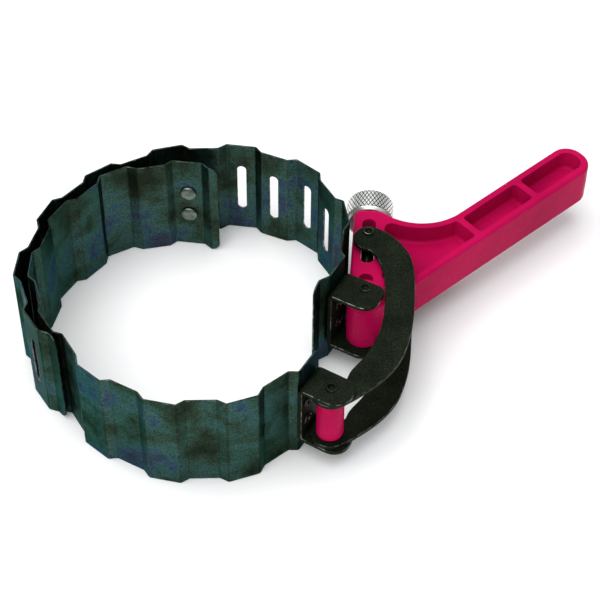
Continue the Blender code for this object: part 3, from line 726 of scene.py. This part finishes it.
# The band rims and slot rims take bright tones that are partly painted highlight, thin lines of light
# along the edges.
BLUED = [blued_steel("blued_band", BLUED_TONES, 0.34),
         rim_steel_with_painted_highlight("blued_band_rim", (0.008, 0.011, 0.009), (0.20, 0.22, 0.20)),
         blued_steel("blued_band_fold", FOLD_TONES, 0.30),
         rim_steel_with_painted_highlight("slot_rim", (0.10, 0.10, 0.085), (0.50, 0.49, 0.42))]
# The black oxide's rim finish is partly painted highlight: thin bright lines along the ears' and plates'
# edges.
BLACK = [black_oxide("black_oxide"),
         rim_steel_with_painted_highlight("black_oxide_rim", (0.010, 0.013, 0.009), (0.20, 0.22, 0.18)),
         black_oxide("black_oxide_fold")]
CRIMSON = [crimson_moulding("crimson_moulding")] * 3
# The second rivet finish, on the rolled tails' crests, is rubbed metal brightened as painted highlight.
GREY = [plain_metal("grey_rivet_steel", (0.016, 0.020, 0.016), (0.050, 0.058, 0.050), 0.30, 0.12),
        plain_metal("rivet_crest_rubbed_and_highlit", (0.060, 0.066, 0.058), (0.30, 0.30, 0.28), 0.26, 0.1)]
SCREW_STEEL = plain_metal("oiled_screw_steel", (0.12, 0.13, 0.12), (0.28, 0.28, 0.26), 0.3, 0.1)
HOOK_RIVET = [plain_metal("hook_rivet_steel", (0.075, 0.100, 0.080), (0.19, 0.225, 0.19), 0.32, 0.12),
              GREY[1]]
# The knob's second finish, on the knurl's flanks, is dark nickel: painted shade in the grooves.
NICKEL = [plain_metal("bright_nickel", (0.86, 0.87, 0.83), (0.97, 0.97, 0.94), 0.34, 0.05),
          plain_metal("knurl_flank_painted_shade", (0.05, 0.06, 0.045), (0.20, 0.21, 0.17), 0.3, 0.1),
          plain_metal("turned_nickel", (0.42, 0.43, 0.40), (0.54, 0.55, 0.52), 0.42, 0.1)]


# ---------------------------------------------------------------- pieces

def piece(node, bm, body, finishes):
    """One finished piece: made in ring millimetres, standing for one CAD node on that node's body."""
    name = f"{node}_finished"
    bmesh.ops.translate(bm, vec=RING_CENTRE, verts=bm.verts)
    bmesh.ops.scale(bm, vec=(MM, MM, MM), verts=bm.verts)
    mesh = bpy.data.meshes.new(name)
    bm.to_mesh(mesh)
    bm.free()
    mesh.shade_smooth()
    mesh.set_sharp_from_angle(angle=math.radians(38))
    for finish in finishes:
        mesh.materials.append(finish)
    made = bpy.data.objects.new(name, mesh)
    bpy.context.collection.objects.link(made)
    evened = made.modifiers.new("evened", "WEIGHTED_NORMAL")
    evened.keep_sharp = True
    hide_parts(node)
    if body:
        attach(made, body)
    return made


def band_paths():
    """Both bands' middle lines, with the lips at their ends."""
    outer = band_path(OUTER_GUIDE, OUTER_FOLDS)
    inner = band_path(INNER_GUIDE, INNER_FOLDS)
    outer = [outer[0] + rot(OUTER_FIRST_LIP[0]) * OUTER_FIRST_LIP[1]] + outer
    outer = outer + [outer[-1] + rot(OUTER_LAST_LIP[0]) * OUTER_LAST_LIP[1]]
    inner = [inner[0] - rot(INNER_FIRST_LIP[0]) * INNER_FIRST_LIP[1]] + inner
    inner = inner + [inner[-1] + rot(LAST_FLAT[0]) * LAST_FLAT[1]]
    return outer, inner


def band_strip(path):
    return strip(path, BAND_THICKNESS, 0, BAND_HEIGHT, FOLD_RADIUS, (BAND_CORNER, BAND_CORNER),
                 Matrix.Identity(4))


def slot_cutter(middle, along, normal):
    """A long hole's cutter, its rims opened a little where the punch broke through."""
    flare, beyond = 0.08, 2
    face = BAND_THICKNESS / 2
    layers = [(-beyond, -flare), (-face, -flare), (flare - face, 0), (face - flare, 0), (face, -flare),
              (beyond, -flare)]
    outline = stretch(Vector((0, 0)), Vector((0, 1)), SLOT_HEIGHT, SLOT_WIDTH)
    # The punched rims take the slot rim finish: bright metal that is partly painted highlight.
    shape = stacked(outline, layers, [PUNCHED] * 5)
    return placed(shape, Matrix(((along.x, 0, normal.x, middle.x), (along.y, 0, normal.y, middle.y),
                                 (0, 1, 0, BAND_MIDDLE), (0, 0, 0, 1))))


def rivet_holes(middle, direction, spacing, grip):
    return [drill(RIVET_SHANK + RIVET_GAP, 2 * grip + 2, flat3(middle, BAND_MIDDLE + side * spacing / 2),
                  flat3(direction, 0)) for side in (1, -1)]


def rivet_pair(name, middle, direction, spacing, grip, head, body, finishes=GREY):
    """Two domed rivets, one above the other: heads behind the place, hollow tails rolled in front."""
    low, high = -RIVET_GAP, grip + RIVET_GAP
    brim = 0.2
    crown = [(head * math.sin(a), low - brim - RIVET_DOME * math.cos(a)) for a in quarter(9)]
    crown += [(head, low - 0.05), (head - 0.08, low)]
    rolled = rolled_end(high, RIVET_SHANK, RIVET_HEAD, RIVET_DOME * 0.65)
    profile = crown + [(RIVET_SHANK, low), (RIVET_SHANK, high)] + rolled
    for level, side in (("upper", 1), ("lower", -1)):
        # The tail's rolled crest takes the second finish: rubbed metal with painted highlight.
        bm = lathe(profile, 36, worn_and_highlit=(len(profile) - 7, len(profile) - 6))
        place = flat3(middle, BAND_MIDDLE + side * spacing / 2)
        piece(f"{name}_{level}", placed(bm, turned_to(place, flat3(direction, 0))), body,
              finishes)


def rolled_end(seat, shank, flare, rise):
    """The profile of a tubular end rolled outward over a plate, down into its dimple."""
    dimple = shank * 0.66
    lip = flare - dimple
    rim = 0.12
    crest = [(flare - lip * (1 - math.cos(a)) / 2, seat + rim + (rise - rim) * math.sin(a))
             for a in (i * math.pi / 8 for i in range(7))]
    return [(flare - 0.08, seat)] + crest + [(dimple, seat - 0.1), (dimple * 0.9, seat - 0.5),
                                             (dimple * 0.5, seat - 0.7), (0, seat - 0.75)]


def bracket(node, corner, along, normal, start, pin, ear_corners, rivets, body):
    """A strip folded into a channel, with round ears that carry a pin."""
    steel = BRACKET_STEEL
    back = BAND_THICKNESS / 2 + RIVET_GAP + steel / 2
    low = BAND_MIDDLE - BRACKET_HEIGHT / 2 + steel / 2
    high = BAND_MIDDLE + BRACKET_HEIGHT / 2 - steel / 2
    path = [Vector((BRACKET_REACH, high)), Vector((back, high)), Vector((back, low)),
            Vector((BRACKET_REACH, low))]
    place = Matrix(((normal.x, 0, along.x, corner.x), (normal.y, 0, along.y, corner.y),
                    (0, 1, 0, 0), (0, 0, 0, 1)))
    bm = strip(path, steel, start, start + BRACKET_WIDTH, BRACKET_BEND, ear_corners, place, 0.2, 8)
    holes = [countersunk(HOLE_RADIUS, level - steel / 2, level + steel / 2, 0.12, pin)
             for level in (low, high)]
    bm = boolean(bm, merged(holes + rivets))
    piece(node, bm, body, BLACK)


def cross_pin(node, place, body):
    """A tubular pin through both ears, rolled over at each end."""
    half = BRACKET_HEIGHT / 2 + RIVET_GAP
    upper = [(PIN_RADIUS, half)] + rolled_end(half, PIN_RADIUS, PIN_RADIUS + PIN_FLARE, 0.65)
    profile = [(radius, -height) for radius, height in reversed(upper)] + upper
    ends = len(upper)
    worn_and_highlit = (ends - 5, ends + 3)
    bm = placed(lathe(profile, 40, worn_and_highlit), Matrix.Translation(flat3(place, BAND_MIDDLE)))
    piece(node, bm, body, BLACK)


def size_hook(inner_path, outer_path, holes):
    """The hook: a plate on the tail's outer face, a fin through the slot, and a short turned end."""
    tail, along, normal = flat_of(inner_path[1:], 0)
    slot, slot_along, slot_normal = flat_of(outer_path[1:], HOOKED_FLAT)
    lift = BAND_THICKNESS / 2 + RIVET_GAP + HOOK_STEEL / 2
    past = BAND_THICKNESS / 2 + HOOK_CLEARANCE + HOOK_STEEL / 2
    bend, chamfer = 0.35, 0.15
    path = [tail + along * end + normal * lift for end in HOOK_PLATE]
    path += [slot - slot_normal * HOOK_FIN_INSIDE, slot + slot_normal * (past - HOOK_FIN_BEND)]
    path += [slot + slot_normal * past - slot_along * end for end in HOOK_TURNED_END]
    bm = strip(path, HOOK_STEEL, BAND_MIDDLE - HOOK_HEIGHT / 2, BAND_MIDDLE + HOOK_HEIGHT / 2, bend,
               (HOOK_CORNER, HOOK_CORNER), Matrix.Identity(4), chamfer)
    piece("size_hook", boolean(bm, merged(holes)), "fixed_band", BLACK)


def bands():
    """Both bands, the hook, both brackets, and every rivet that holds them."""
    outer_path, inner_path = band_paths()
    tail, _, tail_normal = flat_of(inner_path[1:], 0)
    tail_back = tail - tail_normal * BAND_THICKNESS / 2
    hook_grip = BAND_THICKNESS + RIVET_GAP + HOOK_STEEL
    hook_rivets = (tail_back, tail_normal, HOOK_RIVET_SPACING, hook_grip)
    grip = BAND_THICKNESS + RIVET_GAP + BRACKET_STEEL
    fold = inner_path[-2]
    free_along, free_normal = rot(LAST_FLAT[0]), rot(LAST_FLAT[0] - 90)
    link_back = fold + free_along * LINK_RIVET_PLACE - free_normal * BAND_THICKNESS / 2
    link_rivets = (link_back, free_normal, BRACKET_RIVET_SPACING, grip)
    flat, flat_along, flat_normal = flat_of(outer_path[1:], 0)
    pivot_back = flat + flat_along * PIVOT_RIVET_PLACE - flat_normal * BAND_THICKNESS / 2
    pivot_rivets = (pivot_back, flat_normal, BRACKET_RIVET_SPACING, grip)

    slots = [slot_cutter(*flat_of(outer_path[1:], k)) for k in range(FIRST_SLOTTED_FLAT, OUTER_FOLDS - 1)]
    outer = boolean(band_strip(outer_path), merged(slots + rivet_holes(*pivot_rivets)))
    piece("outer_band", outer, "fixed_band", BLUED)
    inner = boolean(band_strip(inner_path), merged(rivet_holes(*hook_rivets) + rivet_holes(*link_rivets)))
    spring = piece("inner_band", inner, None, BLUED)
    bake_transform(spring)

    size_hook(inner_path, outer_path, rivet_holes(*hook_rivets))
    rivet_pair("hook_rivet", *hook_rivets, HOOK_RIVET_HEAD, "fixed_band", HOOK_RIVET)
    bracket("link_bracket", fold, free_along, free_normal, LINK_BRACKET_START, LINK_PIN,
            LINK_EAR_CORNERS, rivet_holes(*link_rivets), "moving_band")
    rivet_pair("link_bracket_rivet", *link_rivets, RIVET_HEAD, "moving_band")
    cross_pin("link_pin", LINK_PIN, "moving_band")
    bracket("pivot_bracket", flat, flat_along, flat_normal, PIVOT_BRACKET_START, PIVOT_PIN,
            PIVOT_EAR_CORNERS, rivet_holes(*pivot_rivets), "fixed_band")
    rivet_pair("pivot_bracket_rivet", *pivot_rivets, RIVET_HEAD, "fixed_band")
    cross_pin("pivot_pin", PIVOT_PIN, "fixed_band")


def lever_outline():
    """Round the pivot's boss, out along the arm, round its tip, and back by the web to the hub's end."""
    shoulder = math.degrees(math.acos(math.sqrt(HUB_BOSS ** 2 - HUB_HALF_WIDTH ** 2) / HUB_BOSS))
    boss = arc(PIVOT_PIN, HUB_BOSS, HUB_ANGLE + shoulder, 270 + ARM_ANGLE, 48)
    fillet = arc(on_arm(FILLET_PLACE, ARM_FAR_SIDE + WEB_FILLET), WEB_FILLET, ARM_ANGLE - 90,
                 FILLET_END, 30)
    corners = [(p, 0) for p in boss]
    corners += [(on_arm(ARM_LENGTH, -ARM_NEAR_SIDE), ARM_TIP_RADIUS),
                (on_arm(ARM_LENGTH, ARM_FAR_SIDE), ARM_TIP_RADIUS)]
    corners += [(p, 0) for p in fillet]
    across, radius = HUB_END_CORNER
    corners += [(on_hub(HUB_LENGTH, across), radius),
                (on_hub(HUB_LENGTH, -HUB_HALF_WIDTH), HUB_NEAR_CORNER)]
    return rounded(corners, 12)


def arm_pocket(start, end, end_radius):
    """A straight pocket between the arm's two rims."""
    near, far = RIM - ARM_NEAR_SIDE, ARM_FAR_SIDE - RIM
    return rounded([(on_arm(start, near), POCKET_CORNER), (on_arm(end, near), end_radius),
                    (on_arm(end, far), end_radius), (on_arm(start, far), POCKET_CORNER)])


def web_pocket():
    """The large pocket in the web, between the hub, the arm's start and the concave rim."""
    near, far = RIM - ARM_NEAR_SIDE, ARM_FAR_SIDE - RIM
    start, end = WEB_POCKET
    low, high = WEB_POCKET_HUB
    rim = arc(on_arm(FILLET_PLACE, ARM_FAR_SIDE + WEB_FILLET), WEB_FILLET + RIM, *WEB_POCKET_RIM, 24)
    corners = [(on_hub(low, WEB_POCKET_ACROSS), POCKET_CORNER), (on_arm(start, near), POCKET_CORNER),
               (on_arm(end, near), POCKET_CORNER), (on_arm(end, far + 0.35), 0.9)]
    corners += [(p, 0) for p in rim]
    corners += [(on_hub(high, WEB_POCKET_ACROSS), 2 * POCKET_CORNER)]
    return rounded(corners)


def pocket_cutter(outline, face, side):
    """A moulded pocket sunk from one face: a filleted floor, walls with draft, a rounded rim."""
    fillet, draft, rim, above = 1.1, 0.12, 0.28, 3
    layers = rounded_rim(-POCKET_DEPTH, draft, fillet) + flared_rim(0, rim) + [(above, -rim)]
    return placed(stacked(outline, layers), Matrix.Translation((0, 0, face))
                  @ Matrix.Diagonal((1, 1, side, 1)))


def through_cutter(outline, low, high):
    """A through hole's cutter with a rounded rim at both faces."""
    rim, beyond = 0.25, 3
    return stacked(outline, [(low - beyond, -rim)] + flared_rim(low, rim, -1) + flared_rim(high, rim)
                   + [(high + beyond, -rim)])


def lever():
    """The moulded lever: a drafted body with a parting line, pockets both sides, bores and a slot."""
    low, high = BAND_MIDDLE - LEVER_THICKNESS / 2, BAND_MIDDLE + LEVER_THICKNESS / 2
    line_foot, line_crest, line_rise = 0.12, 0.04, 0.04
    half = rounded_rim(low, LEVER_DRAFT, LEVER_EDGE)
    half += [(BAND_MIDDLE - line_foot, line_rise), (BAND_MIDDLE - line_crest, 0)]
    bm = stacked(lever_outline(), both_sides(half, BAND_MIDDLE))
    top, rim_radius, step_in = HUB_BOSS_HEIGHT / 2, 0.5, 0.2
    profile = mirrored([(0, -top)] + lathe_rim(HUB_BOSS - step_in, -top, rim_radius))
    boss = placed(lathe(profile, 72), Matrix.Translation(flat3(PIVOT_PIN, BAND_MIDDLE)))
    bm = boolean(bm, boss, "UNION")
    pockets = (arm_pocket(TIP_POCKET_START, ARM_LENGTH - RIM, TIP_POCKET_CORNER),
               arm_pocket(*MIDDLE_POCKET, POCKET_CORNER), web_pocket())
    bm = boolean(bm, merged([pocket_cutter(outline, face, side) for outline in pockets
                             for face, side in ((high, 1), (low, -1))]))
    first, last = NUT_SLOT_SPAN
    slot = stretch(on_hub((first + last) / 2), HUB_ALONG, last - first, NUT_SLOT_WIDTH)
    bm = boolean(bm, through_cutter(slot, low, high))
    clip = arc(on_hub(CLIP_HOLE_PLACE), CLIP_HOLE_RADIUS, 0, 350, 35)
    bm = boolean(bm, through_cutter(clip, low, high))
    bm = boolean(bm, drill(HOLE_RADIUS, THROUGH, flat3(PIVOT_PIN, BAND_MIDDLE), UP))
    bore_start = SCREW_TIP - 0.2
    bore_middle = on_hub(bore_start + BORE_LENGTH / 2)
    bm = boolean(bm, drill(SCREW_BORE, BORE_LENGTH, flat3(bore_middle, BAND_MIDDLE), flat3(HUB_ALONG, 0)))
    for face in bm.faces:
        face.material_index = FACE
    piece("lever_handle", bm, "lever", CRIMSON)


def knurled_knob():
    """The knob: a barrel of raised diamonds between two plain chamfers, blind-bored for the screw."""
    count, rows = 38, 6  # diamonds round the knob, and the rows of them
    depth, plateau = 0.40, 0.78  # how deep the grooves are, and how flat the diamonds
    first, last = 1.15, KNOB_LENGTH - 0.75
    step = (last - first) / rows
    bm = bmesh.new()

    def point(turn, height, radius):
        angle = 2 * math.pi * turn / count
        return Vector((radius * math.cos(angle), radius * math.sin(angle), height))

    crossings = [[bm.verts.new(point(i + (j % 2) / 2, first + j * step, KNOB_RADIUS - depth))
                  for i in range(count)] for j in range(rows + 1)]
    for j in range(rows + 1):
        for i in range(count):
            apex = i if j % 2 == 0 else (i + 1) % count
            corners = [crossings[j][i], crossings[j][(i + 1) % count]]
            if j > 0:
                corners.insert(1, crossings[j - 1][apex])
            if j < rows:
                corners.append(crossings[j + 1][apex])
            turn = i + 0.5 + (j % 2) / 2
            centre = point(turn, first + j * step, KNOB_RADIUS)
            inner = []
            for corner in corners:
                mixed = centre.lerp(corner.co, plateau)
                spoke = Vector((mixed.x, mixed.y, 0)).normalized() * KNOB_RADIUS
                inner.append(bm.verts.new((spoke.x, spoke.y, mixed.z)))
            bm.faces.new(inner)
            for a in range(len(corners)):
                b = (a + 1) % len(corners)
                # The flanks between the raised diamonds take the second finish, painted shade for the
                # grooves.
                bm.faces.new((corners[a], corners[b], inner[b], inner[a])).material_index = EDGE

    def ring(radius, height):
        return [bm.verts.new(point(i, height, radius)) for i in range(count)]

    lower = [crossings[0]] + [ring(r, z) for r, z in (
        (KNOB_RADIUS - 0.12, first - 0.12), (KNOB_RADIUS - 0.06, first - 0.3),
        (KNOB_RADIUS - 0.18, first - 0.5), (KNOB_RADIUS - 0.75, 0.12), (KNOB_RADIUS - 0.95, 0.0),
        (SCREW_BORE + 0.3, 0.0), (SCREW_BORE, 0.3), (SCREW_BORE, KNOB_LENGTH - 2))]
    bridge(bm, lower)
    bm.faces.new(lower[-1])
    upper = [crossings[rows]] + [ring(r, z) for r, z in (
        (KNOB_RADIUS - 0.2, last + 0.12), (KNOB_RADIUS - 0.25, last + 0.3),
        (KNOB_RADIUS - 0.5, KNOB_LENGTH - 0.2), (KNOB_RADIUS - 0.9, KNOB_LENGTH),
        (3.6, KNOB_LENGTH), (3.4, KNOB_LENGTH - 0.25), (0.9, KNOB_LENGTH - 0.35))]
    bridge(bm, upper, [FACE] * 4 + [FOLD] * 3)
    bm.faces.new(upper[-1]).material_index = FOLD
    placed(bm, in_hub(HUB_LENGTH + KNOB_GAP))
    knob = piece("knurled_knob", bm, "adjuster", NICKEL)
    knob.data.set_sharp_from_angle(angle=math.radians(20))


def threaded_screw():
    """The adjusting screw, with a real helical thread between its clip groove and the knob."""
    length = HUB_LENGTH + KNOB_GAP + KNOB_LENGTH - 2.3 - SCREW_TIP
    groove = CLIP_HOLE_PLACE - SCREW_TIP
    pitch, depth, segments, per_turn = 1.0, 0.3, 28, 8  # per_turn: rings of the mesh in one turn
    thread_start, thread_end = groove + 1.5, length - 9.0
    bm = bmesh.new()

    def ring(height, radius_at):
        return [bm.verts.new((radius_at(i) * math.cos(2 * math.pi * i / segments),
                              radius_at(i) * math.sin(2 * math.pi * i / segments), height))
                for i in range(segments)]

    def plain(radius, height):
        return ring(height, lambda i: radius)

    rings = [plain(r, z) for r, z in (
        (SCREW_RADIUS - 0.35, 0), (SCREW_RADIUS, 0.3), (SCREW_RADIUS, groove - 0.5),
        (SCREW_RADIUS - 0.4, groove - 0.5), (SCREW_RADIUS - 0.4, groove + 0.5),
        (SCREW_RADIUS, groove + 0.5), (SCREW_RADIUS, thread_start))]
    rows = int((thread_end - thread_start) / pitch * per_turn)
    for j in range(1, rows):
        height = thread_start + (thread_end - thread_start) * j / rows
        fade = min(1.0, j / per_turn, (rows - j) / per_turn)

        def radius_at(i):
            phase = (height / pitch - i / segments) % 1.0
            return SCREW_RADIUS - depth * fade * abs(2 * phase - 1)

        rings.append(ring(height, radius_at))
    rings += [plain(SCREW_RADIUS, thread_end), plain(SCREW_RADIUS, length)]
    bridge(bm, rings)
    bm.faces.new(rings[0])
    bm.faces.new(rings[-1])
    placed(bm, in_hub(SCREW_TIP))
    piece("adjuster_screw", bm, "adjuster", [SCREW_STEEL])


def screw_clip():
    """A round-section ring in the screw's groove."""
    inner, outer = SCREW_RADIUS - 0.25, CLIP_HOLE_RADIUS - 0.35
    middle, half = (inner + outer) / 2, (outer - inner) / 2
    section = [(middle + half * math.cos(a), 0.3 * math.sin(a)) for a in
               (i * math.pi / 6 for i in range(12))]
    piece("screw_clip", placed(lathe(section, 40), in_hub(CLIP_HOLE_PLACE)), "adjuster",
          GREY)


def barrel_nut():
    """The upright round nut in the hub's slot, cross-bored for the screw."""
    end, rim, gap = -NUT_LENGTH / 2, 0.4, 0.12
    profile = mirrored([(0, end)] + lathe_rim(NUT_RADIUS, end, rim))
    place = flat3(on_hub(NUT_PLACE), BAND_MIDDLE)
    bm = boolean(placed(lathe(profile, 48), Matrix.Translation(place)),
                 drill(SCREW_RADIUS + gap, 4 * NUT_RADIUS, place, flat3(HUB_ALONG, 0)))
    piece("adjuster_nut", bm, "nut", GREY)


def cad_outline(node):
    """A flat CAD plate's outline in ring millimetres: the longest loop round its upper face."""
    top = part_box(node)[1].z
    bm = bmesh.new()
    bm.from_mesh(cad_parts[node].data)
    bmesh.ops.remove_doubles(bm, verts=bm.verts, dist=1e-6)
    upper = {face for face in bm.faces if all(abs(v.co.z - top) < 1e-6 for v in face.verts)}
    rims = {edge for edge in bm.edges if len(upper.intersection(edge.link_faces)) == 1}
    loops = []
    while rims:
        edge = rims.pop()
        loop = [edge.verts[0], edge.verts[1]]
        while loop[-1] != loop[0]:
            edge = next(e for e in loop[-1].link_edges if e in rims)
            rims.remove(edge)
            loop.append(edge.other_vert(loop[-1]))
        loops.append([(v.co / MM - RING_CENTRE).xy for v in loop[1:]])
    bm.free()
    return max(loops, key=lambda loop: sum((a - b).length for a, b in zip(loop, loop[1:])))


def link_plates():
    """Both links, and the nut's ends rolled over them."""
    nut = on_hub(NUT_PLACE)
    half = HUB_BOSS_HEIGHT / 2
    for name, side in (("upper", 1), ("lower", -1)):
        low, high = box_mm(f"link_{name}")
        layers = both_sides(rounded_rim(low.z, 0, 0.25), (low.z + high.z) / 2)
        outline = smooth_loop(clean(cad_outline(f"link_{name}")), 3)
        bm = stacked(outline, layers, rim_finishes(layers))
        holes = [countersunk(HOLE_RADIUS, low.z, high.z, 0.12, place) for place in (LINK_PIN, nut)]
        bm = boolean(bm, merged(holes))
        piece(f"link_{name}", bm, "links", BLACK)
        stub = [(0, half - LINK_STEEL), (PIN_RADIUS, half - LINK_STEEL), (PIN_RADIUS, half + RIVET_GAP)]
        ends = len(stub)
        stub += rolled_end(half + RIVET_GAP, PIN_RADIUS, PIN_RADIUS + PIN_FLARE, 0.55)
        flip = Matrix.Rotation(0 if side > 0 else math.pi, 4, "X")
        end = placed(lathe(stub, 40, worn_and_highlit=(ends + 4,)),
                     Matrix.Translation(flat3(nut, BAND_MIDDLE)) @ flip)
        piece(f"nut_trunnion_{name}", end, "links", BLACK)


def roller():
    """The moulded roller on the link pin, with rounded rims and a faint parting line."""
    end, edge, line_width, line_rise = -ROLLER_LENGTH / 2, 0.6, 0.1, 0.03
    lower = [(HOLE_RADIUS, end)] + lathe_rim(ROLLER_RADIUS, end, edge, 6)
    profile = mirrored(lower + [(ROLLER_RADIUS, -line_width)], [(ROLLER_RADIUS + line_rise, 0)])
    bm = placed(lathe(profile, 72), Matrix.Translation(flat3(LINK_PIN, BAND_MIDDLE)))
    piece("roller", bm, "roller", CRIMSON)


# ---------------------------------------------------------------- stage

def stage():
    """A pale floor, two soft panels and an even sky."""
    bm = bmesh.new()
    bmesh.ops.create_grid(bm, x_segments=1, y_segments=1, size=3.0)
    mesh = bpy.data.meshes.new("floor")
    bm.to_mesh(mesh)
    bm.free()
    floor = bpy.data.objects.new("floor", mesh)
    floor.location.z = cad_low.z - 0.0002
    bpy.context.collection.objects.link(floor)
    paper, tree, shader, coords = start_material("floor_paper", 0.0)
    shade = ramp(tree, noise(tree, coords, 3.0), [(0.3, (0.87, 0.87, 0.87)), (0.7, (0.89, 0.89, 0.89))])
    tree.links.new(shade, shader.inputs["Base Color"])
    shader.inputs["Roughness"].default_value = 0.9
    mesh.materials.append(paper)
    bpy.context.scene.view_settings.view_transform = "Standard"
    world = bpy.data.worlds.new("studio")
    world.use_nodes = True
    sky = world.node_tree.nodes["Background"]
    sky.inputs["Color"].default_value = (0.94, 0.97, 1.0, 1)
    sky.inputs["Strength"].default_value = 0.46
    bpy.context.scene.world = world
    for name, place, size, power in (("key_panel", (-0.20, -0.06, 0.90), 1.25, 13.5),
                                     ("fill_panel", (-0.35, -0.85, 0.55), 0.8, 3.0)):
        light = bpy.data.lights.new(name, "AREA")
        light.size = size
        light.energy = power
        lamp = bpy.data.objects.new(name, light)
        lamp.location = place
        lamp.rotation_euler = (Vector((0, 0, 0)) - Vector(place)).to_track_quat("-Z", "Y").to_euler()
        bpy.context.collection.objects.link(lamp)


def camera():
    """Above and in front, looking along +Y and steeply down, turned half a degree about its own axis."""
    made = bpy.data.cameras.new("camera")
    made.lens = 108.0
    made.sensor_width = 36.0
    view = bpy.data.objects.new("camera", made)
    pitch, roll = math.radians(90 - 48.35), math.radians(0.59)
    view.matrix_world = (Matrix.Translation((-0.00407, -0.38454, 0.4482))
                         @ Matrix.Rotation(pitch, 4, "X") @ Matrix.Rotation(roll, 4, "Z"))
    bpy.context.collection.objects.link(view)
    bpy.context.scene.camera = view


bands()
lever()
knurled_knob()
threaded_screw()
screw_clip()
barrel_nut()
link_plates()
roller()
stage()
camera()
